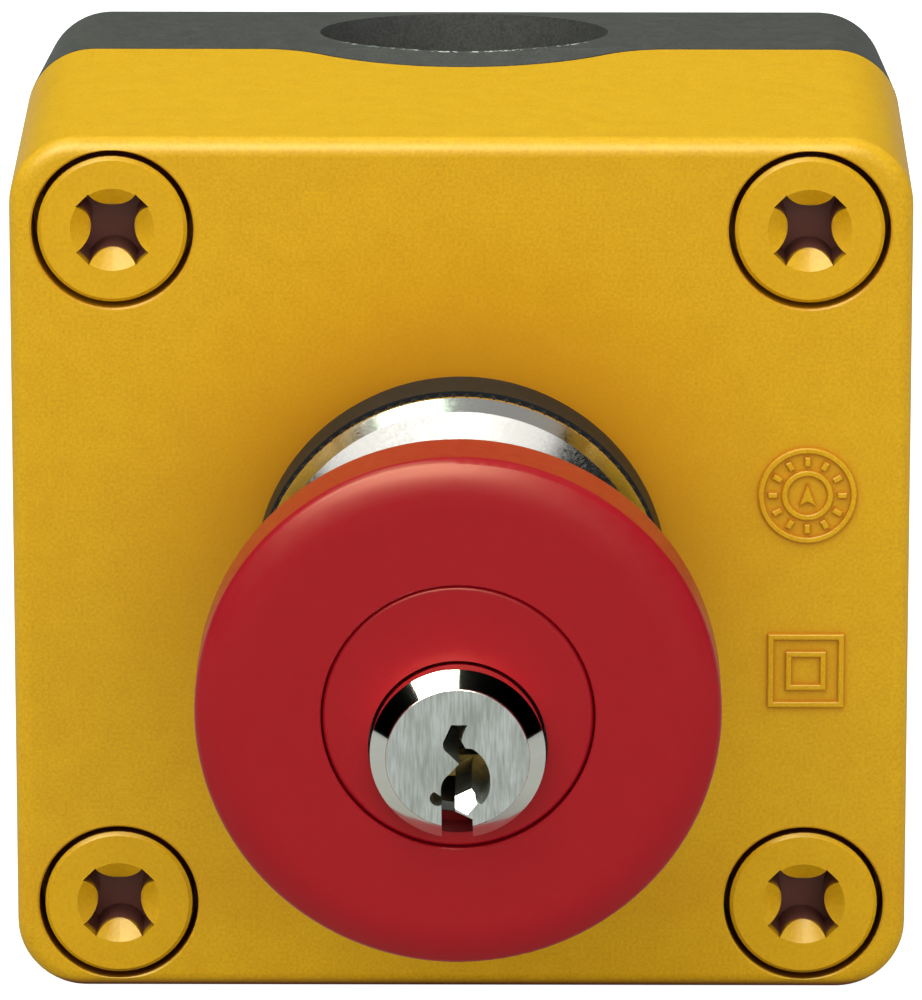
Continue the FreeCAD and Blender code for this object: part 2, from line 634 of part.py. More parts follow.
def ward_bevel():
    """What is cut from the lowest ward's corner, which slopes back towards the keyway."""
    slope = 33
    foot = -4.5
    corner = closed_face((-0.3, -2.4), (1.1, -2.4), (1.5, -3.6), (0.75, foot), (-0.3, -4.0))
    face = at_height(PLUG_FACE)
    above = block(-1, 2, face, face + 3, foot, foot + 4)
    above = above.rotated(FreeCAD.Vector(0, -face, foot), FreeCAD.Vector(1, 0, 0), -slope)
    bevel = raised(corner, face - 2, face + 1).common(above)
    return bevel.translated(FreeCAD.Vector(0, 0, LOCK_OFFSET))


def wafer_height(index):
    return WAFER_FIRST + index * WAFER_PITCH


def lock_plug():
    """Nickel plug with a bevelled head, the keyway, the wafer slots and a square tail."""
    face_edge = 0.12
    plug = turned(
        (0, at_height(PLUG_REAR)), (PLUG_RADIUS, at_height(PLUG_REAR)),
        (PLUG_RADIUS, at_height(INSERT_SEAT)), (PLUG_HEAD_RADIUS, at_height(INSERT_SEAT)),
        (PLUG_HEAD_RADIUS, at_height(PLUG_BEVEL_START)),
        (PLUG_FACE_RADIUS, at_height(PLUG_FACE - face_edge)),
        ((PLUG_FACE_RADIUS - face_edge / 4, at_height(PLUG_FACE - face_edge / 4)),
         (PLUG_FACE_RADIUS - face_edge, at_height(PLUG_FACE))),
        (0, at_height(PLUG_FACE)), z=LOCK_OFFSET)
    half = TAIL_SIZE / 2
    tail = block(-half, half, at_height(TAIL_END), at_height(PLUG_REAR + 0.5),
                 LOCK_OFFSET - half, LOCK_OFFSET + half)
    slots = []
    for index in range(WAFER_COUNT):
        low = at_height(wafer_height(index)) - CLEARANCE
        slots.append(block(-3.05, 3.05, low, low + WAFER_THICKNESS + 2 * CLEARANCE,
                           LOCK_OFFSET - 4.4, LOCK_OFFSET + 4.4))
    way = keyway(at_height(WAFER_FIRST - 3), at_height(PLUG_FACE + 1))
    return plug.fuse(tail).cut([way, ward_bevel()] + slots)


def lock_wafers():
    """Thin brass plates in the plug, each with a window for the key."""
    wafers = []
    for index in range(WAFER_COUNT):
        low = at_height(wafer_height(index))
        high = low + WAFER_THICKNESS
        plate = block(-3.0, 3.0, low, high, LOCK_OFFSET - 4.3, LOCK_OFFSET + 4.3)
        window_low = -3.3 + 0.35 * (index % 3)
        window = block(-2.2, 2.2, low - 1, high + 1, LOCK_OFFSET + window_low, LOCK_OFFSET + 3.2)
        wafers.append(plate.cut(window))
    return Part.makeCompound(wafers)


# ---- Cam, latch and stem ---------------------------------------------------------------------------

def spiral_slot(turn):
    """Cam slot in which a pin moves steadily inwards as the key turns."""
    half_width = PAWL_PIN_RADIUS + CLEARANCE
    steps = 8

    def point(share, side):
        angle = KEY_TURN * share + turn
        radius = PAWL_PIN_PLACE - PAWL_TRAVEL * share + side * half_width
        return FreeCAD.Vector(radius * math.cos(angle), radius * math.sin(angle), 0)

    def curve(side):
        line = Part.BSplineCurve()
        line.interpolate([point(step / steps, side) for step in range(steps + 1)])
        return line

    outer = curve(1)
    inner = curve(-1)
    ends = [Part.makeLine(point(0, -1), point(0, 1)), Part.makeLine(point(1, 1), point(1, -1))]
    wire = Part.Wire(Part.__sortEdges__([outer.toShape(), inner.toShape()] + ends))
    low = at_height(PAWL_TOP) - 1
    high = at_height(PAWL_TOP + 2.3)
    slot = raised(Part.Face(wire), low, high)
    for share in (0, 1):
        centre = point(share, 0)
        slot = slot.fuse(rod(half_width + 0.02, low, high, centre.x, centre.y))
    return slot.translated(FreeCAD.Vector(0, 0, LOCK_OFFSET))


def cam_shaft():
    """Driver on the plug's tail: a square socket, a thin shaft and the slotted cam disc."""
    disc = rod(CAM_RADIUS, at_height(JOINT_HEIGHT + 0.05), at_height(CAM_TOP), 0, LOCK_OFFSET)
    shaft = rod(CAM_SHAFT_RADIUS, at_height(CAM_TOP), at_height(TAIL_END), 0, LOCK_OFFSET)
    coupling = rod(CAM_COUPLING_RADIUS, at_height(TAIL_END - 1), at_height(PLUG_REAR - 0.05), 0, LOCK_OFFSET)
    half = TAIL_SIZE / 2 + CLEARANCE
    socket = block(-half, half, at_height(TAIL_END - 0.05), at_height(PLUG_REAR + 1),
                   LOCK_OFFSET - half, LOCK_OFFSET + half)
    solid = disc.fuse([shaft, coupling]).removeSplitter()
    return solid.cut([socket, spiral_slot(0), spiral_slot(math.pi)])


def latch_pawl():
    """Right-hand pawl: a plate with a rounded tip and a drive pin."""
    low = at_height(PAWL_BOTTOM)
    high = at_height(PAWL_TOP)
    plate = block(PAWL_INNER_END, PAWL_TIP_RADIUS + 1, low, high,
                  LOCK_OFFSET - PAWL_HALF_WIDTH, LOCK_OFFSET + PAWL_HALF_WIDTH)
    plate = plate.common(rod(PAWL_TIP_RADIUS, low, high))
    pin = rod(PAWL_PIN_RADIUS, high - 0.5, high + 2.0, PAWL_PIN_PLACE, LOCK_OFFSET)
    return plate.fuse(pin).removeSplitter()


def pawl_spring():
    """Small spring that pushes the two pawls apart."""
    middle = (PAWL_TOP + PAWL_BOTTOM) / 2
    span = 2 * PAWL_INNER_END - 0.04
    spring = coil(0.85, 0.15, 5.0, -span / 2, span / 2)
    spring = spring.rotated(FreeCAD.Vector(), FreeCAD.Vector(0, 0, 1), 90)
    return spring.translated(FreeCAD.Vector(0, -at_height(middle), LOCK_OFFSET))


def stem_screw_holes(radius, depth_from, depth_to):
    return [rod(radius, depth_from, depth_to, side * STEM_SCREW_PLACE, STEM_SCREW_PLACE)
            for side in (-1, 1)]


def plunger_sleeve():
    """Upper half of the sliding stem: it holds the head and houses the cam shaft."""
    spigot_top = LOCK_HOUSING_REAR - 0.1
    sleeve = rod(STEM_RADIUS, at_height(JOINT_HEIGHT), at_height(NECK_BOTTOM - 0.05))
    sleeve = sleeve.fuse(rod(LOCK_HOUSING_RADIUS, at_height(0), at_height(spigot_top))).removeSplitter()
    passage = rod(CAM_SHAFT_RADIUS + CLEARANCE, at_height(JOINT_HEIGHT), at_height(PLUG_REAR + 2),
                  0, LOCK_OFFSET)
    coupling_room = rod(CAM_COUPLING_RADIUS + CLEARANCE, at_height(TAIL_END - 1 - CLEARANCE),
                        at_height(PLUG_REAR + 2), 0, LOCK_OFFSET)
    cam_room = rod(CAM_RADIUS + 0.1, at_height(JOINT_HEIGHT - 1), at_height(CAM_TOP + CLEARANCE),
                   0, LOCK_OFFSET)
    threads = stem_screw_holes(STEM_SCREW_RADIUS + 0.02, at_height(JOINT_HEIGHT - 1), at_height(-2.5))
    return sleeve.cut([passage, coupling_room, cam_room] + threads)


def plunger_foot():
    """Lower half of the sliding stem with the guide slot for the pawls."""
    foot = rod(STEM_RADIUS, at_height(BODY_END), at_height(JOINT_HEIGHT))
    guide = block(-STEM_RADIUS - 1, STEM_RADIUS + 1, at_height(PAWL_BOTTOM - CLEARANCE),
                  at_height(JOINT_HEIGHT + 1), LOCK_OFFSET - PAWL_HALF_WIDTH - CLEARANCE,
                  LOCK_OFFSET + PAWL_HALF_WIDTH + CLEARANCE)
    holes = stem_screw_holes(STEM_SCREW_RADIUS + 0.1, at_height(BODY_END - 1), at_height(0))
    heads = stem_screw_holes(1.8, at_height(BODY_END - 1), at_height(BODY_END + 1.6))
    centre = rod(PUSHER_SCREW_RADIUS + 0.02, at_height(BODY_END - 1), at_height(BODY_END + 7.5))
    return foot.cut([guide, centre] + holes + heads)


def stem_screws():
    """Two long screws that join the halves of the stem."""
    screws = []
    for side in (-1, 1):
        x = side * STEM_SCREW_PLACE
        head = rod(1.7, at_height(BODY_END + 0.1), at_height(BODY_END + 1.6), x, STEM_SCREW_PLACE)
        shank = rod(STEM_SCREW_RADIUS, at_height(BODY_END + 1.5), at_height(-3), x, STEM_SCREW_PLACE)
        slot = block(x - 2, x + 2, at_height(BODY_END), at_height(BODY_END + 0.8),
                     STEM_SCREW_PLACE - 0.25, STEM_SCREW_PLACE + 0.25)
        screws.append(head.fuse(shank).removeSplitter().cut(slot))
    return Part.makeCompound(screws)


def pusher_plate():
    """Disc on the end of the stem that presses both contact plungers."""
    plate = rod(PUSHER_RADIUS, at_height(PUSHER_REAR), at_height(BODY_END))
    hole = rod(PUSHER_SCREW_RADIUS + 0.1, at_height(PUSHER_REAR - 1), at_height(BODY_END + 1))
    sink = cone(2.8, PUSHER_SCREW_RADIUS + 0.1, at_height(PUSHER_REAR - 0.01), at_height(PUSHER_REAR + 1.3))
    return plate.cut([hole, sink])


def pusher_screw():
    """Countersunk screw in the middle of the pusher plate."""
    top = at_height(BODY_END + 7)
    shank = rod(PUSHER_SCREW_RADIUS, at_height(PUSHER_REAR + 1), top)
    head = cone(2.6, PUSHER_SCREW_RADIUS, at_height(PUSHER_REAR + 0.1), at_height(PUSHER_REAR + 1.2))
    slot = block(-3, 3, at_height(PUSHER_REAR), at_height(PUSHER_REAR + 0.7), -0.35, 0.35)
    return shank.fuse(head).removeSplitter().cut(slot)


# ---- Contact blocks --------------------------------------------------------------------------------

def contact_housing(x, level):
    """Block body with the bridge chamber, two terminal pockets and a guided plunger hole."""
    half = BLOCK_WIDTH / 2
    upper = block(x - half, x + half, WALL, BLOCK_TOP, -BLOCK_HALF_HEIGHT, BLOCK_HALF_HEIGHT)
    foot = block(x - half, x + half, WALL, FOOT_TOP, -FOOT_HALF_HEIGHT, FOOT_HALF_HEIGHT)
    cavity = block(x - CAVITY_HALF_WIDTH, x + CAVITY_HALF_WIDTH, WALL, BLOCK_TOP - BLOCK_SHELF,
                   -CAVITY_HALF_HEIGHT, CAVITY_HALF_HEIGHT)
    rear_seat = block(x - CAVITY_HALF_WIDTH - 0.2, x + CAVITY_HALF_WIDTH + 0.2, WALL - 1,
                      WALL + REAR_COVER_THICKNESS, -FOOT_HALF_HEIGHT + 1.5, FOOT_HALF_HEIGHT - 1.5)
    guide = block(x - PLUNGER_HALF_WIDTH - CLEARANCE, x + PLUNGER_HALF_WIDTH + CLEARANCE, 0, FACE_DEPTH,
                  -PLUNGER_HALF_HEIGHT - CLEARANCE, PLUNGER_HALF_HEIGHT + CLEARANCE)
    pocket_half = TERMINAL_POCKET / 2
    pocket = block(x - CAVITY_HALF_WIDTH, x + CAVITY_HALF_WIDTH, level, BLOCK_TOP + 1,
                   TERMINAL_PLACE - pocket_half, TERMINAL_PLACE + pocket_half)
    wire_entry = block(x - 2.5, x + 2.5, level + STRIP_THICKNESS, level + 5, TERMINAL_PLACE, 20)
    strip_slot = block(x - STRIP_WIDTH / 2 - CLEARANCE, x + STRIP_WIDTH / 2 + CLEARANCE, level,
                       level + STRIP_THICKNESS + CLEARANCE, CAVITY_HALF_HEIGHT - 1, TERMINAL_PLACE)
    thread = rod(1.5, level - 7, level + 1, x, TERMINAL_PLACE)
    rooms = []
    for feature in (pocket, wire_entry, strip_slot, thread):
        rooms += both_ends(feature)
    return upper.fuse(foot).removeSplitter().cut([cavity, rear_seat, guide] + rooms)


def contact_rear_cover(x):
    """Plate that closes the rear of a contact block."""
    half_width = CAVITY_HALF_WIDTH + 0.15
    half_height = FOOT_HALF_HEIGHT - 1.55
    return block(x - half_width, x + half_width, WALL, WALL + REAR_COVER_THICKNESS - 0.02,
                 -half_height, half_height)


def contact_plunger(x, window_low, window_high):
    """Rectangular plunger with a rounded tip and a window for the bridge."""
    body = block(x - PLUNGER_HALF_WIDTH, x + PLUNGER_HALF_WIDTH, PLUNGER_BOTTOM, PLUNGER_TOP,
                 -PLUNGER_HALF_HEIGHT, PLUNGER_HALF_HEIGHT)
    body = body.makeFillet(0.6, edges_at(body, PLUNGER_TOP))
    window = block(x - WINDOW_HALF_WIDTH, x + WINDOW_HALF_WIDTH, window_low, window_high, -5, 5)
    return body.cut(window)


def contact_tips(x, depth_from, depth_to):
    return both_ends(rod(TIP_RADIUS, depth_from, depth_to, x, TIP_PLACE))


def contact_bridge(x, depth, tip_side):
    """Moving strip with a silver tip at each end. tip_side is 1 for tips in front, -1 for behind."""
    strip = block(x - BRIDGE_HALF_WIDTH, x + BRIDGE_HALF_WIDTH, depth, depth + STRIP_THICKNESS,
                  -BRIDGE_HALF_LENGTH, BRIDGE_HALF_LENGTH)
    if tip_side > 0:
        tips = contact_tips(x, depth + STRIP_THICKNESS, depth + STRIP_THICKNESS + 0.5)
    else:
        tips = contact_tips(x, depth - 0.5, depth)
    return strip.fuse(tips).removeSplitter()


def fixed_contacts(x, level, tip_side):
    """Two terminal strips, each with a silver tip that the bridge meets."""
    half = STRIP_WIDTH / 2
    strip = block(x - half, x + half, level, level + STRIP_THICKNESS, 5.4, 15.2)
    strip = strip.cut(rod(1.6, level - 1, level + 2, x, TERMINAL_PLACE))
    if tip_side > 0:
        tip = rod(TIP_RADIUS, level + STRIP_THICKNESS, level + STRIP_THICKNESS + 0.6, x, TIP_PLACE)
    else:
        tip = rod(TIP_RADIUS, level - 0.6, level, x, TIP_PLACE)
    return Part.makeCompound(both_ends(strip.fuse(tip).removeSplitter()))


def terminal_screws(x, level):
    """Two slotted clamping screws."""
    seat = level + STRIP_THICKNESS + 1.02
    head = rod(2.5, seat, seat + 1.8, x, TERMINAL_PLACE)
    shank = rod(1.45, level - 6, seat + 0.1, x, TERMINAL_PLACE)
    slot = block(x - 3, x + 3, seat + 0.9, seat + 2, TERMINAL_PLACE - 0.35, TERMINAL_PLACE + 0.35)
    return Part.makeCompound(both_ends(head.fuse(shank).removeSplitter().cut(slot)))


def clamp_washers(x, level):
    """Two square washers that press the wires onto the strips."""
    low = level + STRIP_THICKNESS + 0.01
    washer = block(x - 2.6, x + 2.6, low, low + 1, TERMINAL_PLACE - 2.6, TERMINAL_PLACE + 2.6)
    return Part.makeCompound(both_ends(washer.cut(rod(1.6, low - 1, low + 2, x, TERMINAL_PLACE))))


def plunger_spring(x):
    """Spring that returns a contact plunger."""
    return coil(1.6, 0.2, 5.0, WALL + REAR_COVER_THICKNESS, PLUNGER_BOTTOM - 0.02, x)


def save_contact_block(prefix, x, level, tip_side, bridge_depth, window_low, window_high):
    """All the pieces of one contact block. The tips are on the side that the bridge comes from."""
    save(prefix + "_housing", contact_housing(x, level))
    save(prefix + "_rear_cover", contact_rear_cover(x))
    save(prefix + "_plunger", contact_plunger(x, window_low, window_high))
    save(prefix + "_bridge", contact_bridge(x, bridge_depth, -tip_side))
    save(prefix + "_fixed_contacts", fixed_contacts(x, level, tip_side))
    save(prefix + "_terminal_screws", terminal_screws(x, level))
    save(prefix + "_clamp_washers", clamp_washers(x, level))
    save(prefix + "_plunger_spring", plunger_spring(x))
    if tip_side > 0:
        spring_low, spring_high = bridge_depth + STRIP_THICKNESS, window_high
    else:
        spring_low, spring_high = window_low, bridge_depth
    save(prefix + "_contact_spring", coil(0.9, 0.15, 6.0, spring_low + 0.01, spring_high - 0.01, x))


def save_contact_blocks():
    nc_bridge = NC_LEVEL - 0.6 - 0.5 - STRIP_THICKNESS
    save_contact_block("nc", -BLOCK_OFFSET, NC_LEVEL, -1, nc_bridge, nc_bridge - 4.9,
                       nc_bridge + STRIP_THICKNESS)
    no_bridge = NO_LEVEL + STRIP_THICKNESS + 0.6 + NO_GAP + 0.5
    save_contact_block("no", BLOCK_OFFSET, NO_LEVEL, 1, no_bridge, no_bridge, no_bridge + 6.8)


# ---- Output ----------------------------------------------------------------------------------------

os.makedirs("parts", exist_ok=True)

save("enclosure_base", base())
save("enclosure_cover", cover())
save("cover_seal", cover_seal())
save("cover_screws", cover_screws())
save("collar_gasket", collar_gasket())
save("actuator_body", actuator_body())
save("front_ring", front_ring())
save("thrust_washer", thrust_washer())
save("ring_nut", ring_nut())
save("return_spring", return_spring())
save("mushroom_head", mushroom_head())
save("head_insert", head_insert())
save("lock_housing", lock_housing())
save("lock_plug", lock_plug())
save("lock_wafers", lock_wafers())
save("cam_shaft", cam_shaft())
save("latch_pawl_right", latch_pawl())
save("latch_pawl_left", mirrored_x(latch_pawl()))
save("pawl_spring", pawl_spring())
save("plunger_sleeve", plunger_sleeve())
save("plunger_foot", plunger_foot())
save("stem_screws", stem_screws())
save("pusher_plate", pusher_plate())
save("pusher_screw", pusher_screw())
save_contact_blocks()
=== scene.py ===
import json
import math

import bmesh
import bpy
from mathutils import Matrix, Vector

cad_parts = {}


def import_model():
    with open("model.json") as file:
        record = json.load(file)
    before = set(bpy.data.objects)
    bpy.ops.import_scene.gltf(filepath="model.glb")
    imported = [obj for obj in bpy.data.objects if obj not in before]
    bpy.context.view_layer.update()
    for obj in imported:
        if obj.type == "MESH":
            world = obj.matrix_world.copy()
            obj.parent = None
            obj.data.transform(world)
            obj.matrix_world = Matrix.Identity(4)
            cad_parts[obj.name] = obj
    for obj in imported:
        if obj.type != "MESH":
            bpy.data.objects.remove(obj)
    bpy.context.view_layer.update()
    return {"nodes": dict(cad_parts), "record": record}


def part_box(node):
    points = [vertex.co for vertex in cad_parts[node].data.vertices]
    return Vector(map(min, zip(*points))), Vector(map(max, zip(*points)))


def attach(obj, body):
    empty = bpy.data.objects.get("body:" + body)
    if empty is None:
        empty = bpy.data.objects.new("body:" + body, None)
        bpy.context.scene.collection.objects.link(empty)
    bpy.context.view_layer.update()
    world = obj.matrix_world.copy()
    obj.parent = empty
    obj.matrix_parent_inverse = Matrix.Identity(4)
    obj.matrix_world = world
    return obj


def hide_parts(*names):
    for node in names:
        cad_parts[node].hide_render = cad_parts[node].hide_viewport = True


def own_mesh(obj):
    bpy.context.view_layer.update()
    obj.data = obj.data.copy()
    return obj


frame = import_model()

# Looks of the emergency stop button. Metres, in the CAD model's own frame: the wall is the plane y = 0,
# the button's axis is the Y axis, and the front looks along -Y.

NODES = frame["nodes"]
MM = 0.001

FACE_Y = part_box("collar_gasket")[1].y
LOW_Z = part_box("enclosure_cover")[0].z
TOP_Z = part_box("enclosure_base")[1].z
SCREW_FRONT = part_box("cover_screws")[0].y
PLUG_Z = (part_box("cam_shaft")[0].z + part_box("cam_shaft")[1].z) / 2
ENTRY = next(mount for mount in frame["record"]["mounts"] if mount["name"] == "cable_entry_top")

# Radiance of each light, the even light around the object, and how much of it the floor gives back.
KEY_LIGHT = (1.02, 0.98, 0.94)
STRIP_LIGHT = (3.1, 3.9, 2.9)
SHINE_LIGHT = (12.0, 12.0, 10.4)
BACK_LIGHT = (0.3, 0.3, 0.3)
FRONT_LIGHT = (1.0, 1.05, 1.05)
EVEN_LIGHT = (0.76, 0.79, 0.84)
FLOOR_ALBEDO = 0.36

# Camera: focal length in millimetres, shift as a share of the frame, metres, and degrees down.
CAMERA_LENS = 348.5
CAMERA_SHIFT = -0.00944
CAMERA_ASIDE = 0.0045
CAMERA_DISTANCE = 0.750
CAMERA_HEIGHT = 0.2197
CAMERA_TILT = 15.856


# ---- Node graphs -----------------------------------------------------------------------------------

class Graph:
    """Builds one material's node tree with short calls. Sockets are passed as values to link them."""

    def __init__(self, name):
        self.material = bpy.data.materials.new(name)
        self.material.use_nodes = True
        self.tree = self.material.node_tree
        self.shader = self.tree.nodes["Principled BSDF"]
        self.output = self.tree.nodes["Material Output"]

    def put(self, socket, value):
        if isinstance(value, bpy.types.NodeSocket):
            self.tree.links.new(value, socket)
        else:
            socket.default_value = value

    def node(self, kind, inputs=None, **settings):
        made = self.tree.nodes.new("ShaderNode" + kind)
        for name, value in settings.items():
            setattr(made, name, value)
        for name, value in (inputs or {}).items():
            self.put(made.inputs[name], value)
        return made

    def principled(self, **inputs):
        for name, value in inputs.items():
            self.put(self.shader.inputs[name.replace("_", " ")], value)

    def place(self, scale=(1, 1, 1)):
        """Coordinates in the part's own frame, in millimetres, that stay with the piece as it moves."""
        coordinates = self.node("TexCoord").outputs["Object"]
        in_mm = tuple(factor / MM for factor in scale)
        return self.node("Mapping", {"Vector": coordinates, "Scale": in_mm}).outputs["Vector"]

    def along(self, axis):
        """One of the part's own coordinates, in millimetres."""
        return self.node("SeparateXYZ", {"Vector": self.place()}).outputs[axis]

    def noise(self, size_mm, detail=2.0, stretch=(1, 1, 1)):
        vector = self.place(stretch)
        inputs = {"Vector": vector, "Scale": 1 / size_mm, "Detail": detail, "Roughness": 0.5}
        return self.node("TexNoise", inputs).outputs["Fac"]

    def remap(self, value, low, high, to_low=0.0, to_high=1.0):
        inputs = {"Value": value, "From Min": low, "From Max": high, "To Min": to_low, "To Max": to_high}
        return self.node("MapRange", inputs).outputs["Result"]

    def math(self, operation, first, second=0.0):
        made = self.node("Math", operation=operation)
        self.put(made.inputs[0], first)
        self.put(made.inputs[1], second)
        return made.outputs["Value"]

    def mix(self, factor, first, second):
        made = self.node("Mix", data_type="RGBA")
        self.put(made.inputs["Factor"], factor)
        self.put(made.inputs["A"], first)
        self.put(made.inputs["B"], second)
        return made.outputs["Result"]

    def bump(self, height, depth_mm):
        inputs = {"Height": height, "Distance": depth_mm * MM, "Strength": 1.0}
        return self.node("Bump", inputs).outputs["Normal"]

    def openness(self, reach_mm, samples):
        """How freely light reaches the surface, from 0 to 1, counting what stands within reach."""
        inputs = {"Distance": reach_mm * MM}
        return self.node("AmbientOcclusion", inputs, samples=samples).outputs["AO"]

    def radius(self, first, second, first_centre=0.0, second_centre=0.0):
        """Distance from an axis, from two coordinates across it."""
        first_square = self.math("POWER", self.math("SUBTRACT", first, first_centre), 2.0)
        second_square = self.math("POWER", self.math("SUBTRACT", second, second_centre), 2.0)
        return self.math("SQRT", self.math("ADD", first_square, second_square))


def rgb(red, green, blue):
    """Linear colour from the 0 to 255 values of a display colour."""
    def linear(value):
        share = value / 255
        return share / 12.92 if share <= 0.04045 else ((share + 0.055) / 1.055) ** 2.4
    return (linear(red), linear(green), linear(blue), 1.0)


# ---- Materials -------------------------------------------------------------------------------------

WHITE = (1.0, 1.0, 1.0, 1.0)
YELLOW_SHINE = (1.0, 0.95, 0.75, 1.0)
RED_SHINE = (1.0, 0.85, 0.6, 1.0)
PLUG_FACE_RADIUS = 5.5


def painted_screw_pit_shade(graph, colour, pit_shade_colour):
    """Colour that turns to painted shade at the far end of the recesses in the cover screws."""
    depth = graph.math("SUBTRACT", graph.along("Y"), SCREW_FRONT / MM)
    # Painted shade: the colour darkens from 1.2 to 1.75 mm into the screw recesses.
    return graph.mix(graph.remap(depth, 1.2, 1.75), colour, pit_shade_colour)


def painted_head_bounce(graph, colour, head_bounce_colour):
    """Colour with painted shade and red bounce light near the tall actuator, but not near the floor."""
    low = graph.remap(graph.along("Z"), LOW_Z / MM + 14, LOW_Z / MM + 5)
    # Painted shade and red bounce light: orange where other parts, such as the red head, stand within 14 mm.
    openness = graph.math("MAXIMUM", graph.remap(graph.openness(14, samples=4), 0.65, 0.97), low)
    return graph.mix(openness, head_bounce_colour, colour)


def painted_entry_glints(graph, colour, glint_colour):
    """Colour with painted highlights, pale specks, along the upper edge of the cable entry."""
    entry_y, entry_radius = ENTRY["pos_m"][1] / MM, ENTRY["dims"]["r_mm"]
    reach = graph.radius(graph.along("X"), graph.along("Y"), second_centre=entry_y)
    offset = graph.math("ABSOLUTE", graph.math("SUBTRACT", reach, entry_radius + 0.1))
    # Painted highlights: pale specks where the rim's edge catches the light.
    glint_specks = graph.remap(graph.noise(0.45, detail=3.0), 0.50, 0.60)
    edge = graph.math("MULTIPLY", graph.remap(offset, 0.4, 0.2), glint_specks)
    upper = graph.remap(graph.along("Z"), TOP_Z / MM - 0.5, TOP_Z / MM - 0.3)
    return graph.mix(graph.math("MULTIPLY", edge, upper), colour, glint_colour)


def moulded_plastic(name, dark, light, roughness, grain_mm, grain_depth_mm, speckle=0.25, hollow_shade=None,
                    change=None, shine=WHITE, gloss=0.5):
    """Moulded plastic: a fine grain in the surface, and a faint mottle in its colour and its sheen.

    Hollow shade is the painted shade of narrow recesses: its colour, how far their walls may stand in
    millimetres, and the openness at which the shade is full and at which it ends. A change is a function
    that paints light or shade into the colour over some part of the surface, and the colour it paints.
    """
    graph = Graph(name)
    grain = graph.noise(grain_mm, detail=3.0)
    mottle = graph.noise(2.0, detail=3.0)
    tone = graph.math("ADD", graph.remap(mottle, 0.3, 0.7, 0.0, 1.0 - speckle),
                      graph.remap(grain, 0.25, 0.75, 0.0, speckle))
    colour = graph.mix(tone, dark, light)
    # Painted shade: the colour darkens where walls stand close around the surface.
    if hollow_shade is not None:
        hollow_shade_colour, reach_mm, full, ends = hollow_shade
        colour = graph.mix(graph.remap(graph.openness(reach_mm, samples=8), full, ends), hollow_shade_colour, colour)
    if change is not None:
        turn, other = change
        colour = turn(graph, colour, other)
    sheen = graph.remap(graph.noise(1.0, detail=4.0), 0.2, 0.8, roughness - 0.04, roughness + 0.04)
    graph.principled(Base_Color=colour, Roughness=sheen, Specular_Tint=shine, Specular_IOR_Level=gloss,
                     Normal=graph.bump(grain, grain_depth_mm))
    return graph.material


def bright_metal(name, tint, roughness):
    """Polished plated metal with a faint uneven sheen."""
    graph = Graph(name)
    wear = graph.noise(0.25, detail=4.0)
    sheen = graph.remap(wear, 0.3, 0.8, roughness * 0.7, roughness * 1.5)
    graph.principled(Base_Color=tint, Metallic=1.0, Roughness=sheen,
                     Normal=graph.bump(graph.noise(3.0, detail=1.0), 0.01))
    return graph.material


def plain_metal(name, tint, roughness):
    """Drawn or stamped metal with fine stains."""
    graph = Graph(name)
    stain = graph.noise(1.2, detail=5.0)
    darker = tuple(channel * 0.72 for channel in tint[:3]) + (1.0,)
    graph.principled(Base_Color=graph.mix(graph.remap(stain, 0.3, 0.7), darker, tint), Metallic=1.0,
                     Roughness=graph.remap(stain, 0.2, 0.8, roughness - 0.08, roughness + 0.12),
                     Normal=graph.bump(graph.noise(0.15), 0.006))
    return graph.material


def plug_nickel():
    """Nickel with a vertically brushed face and a mirror bevel around it."""
    graph = Graph("plug_nickel")
    radius = graph.radius(graph.along("X"), graph.along("Z"), second_centre=PLUG_Z / MM)
    face = graph.remap(radius, PLUG_FACE_RADIUS + 0.04, PLUG_FACE_RADIUS - 0.04)
    brush = graph.noise(0.16, detail=4.0, stretch=(1, 1, 0.09))
    stain = graph.noise(1.6, detail=3.0, stretch=(1, 1, 0.45))
    tone = graph.mix(graph.remap(graph.math("ADD", brush, stain), 0.75, 1.25), rgb(192, 195, 188),
                     rgb(240, 242, 240))
    colour = graph.mix(face, rgb(236, 232, 224), tone)
    roughness = graph.math("ADD", graph.math("MULTIPLY", face, 0.26), 0.06)
    graph.principled(Base_Color=colour, Metallic=1.0, Roughness=roughness,
                     Normal=graph.bump(graph.math("MULTIPLY", brush, face), 0.012))
    return graph.material


# The cover's colour carries painted shade in narrow recesses, and painted red bounce light and shade near the
# head.
YELLOW = moulded_plastic("yellow_plastic", rgb(206, 151, 6), rgb(231, 178, 18), 0.40, 0.25, 0.006,
                         speckle=0.8, hollow_shade=(rgb(120, 50, 14), 1.4, 0.2, 0.8),
                         change=(painted_head_bounce, rgb(206, 136, 8)), shine=YELLOW_SHINE, gloss=0.34)
# The screws' colour carries painted shade in their recesses and in the gap around their heads.
SCREW_YELLOW = moulded_plastic("screw_yellow", rgb(210, 155, 8), rgb(229, 175, 16), 0.36, 0.30, 0.003,
                               speckle=0.8, hollow_shade=(rgb(70, 24, 34), 3.5, 0.15, 0.55),
                               change=(painted_screw_pit_shade, rgb(127, 76, 66)), shine=YELLOW_SHINE, gloss=0.34)
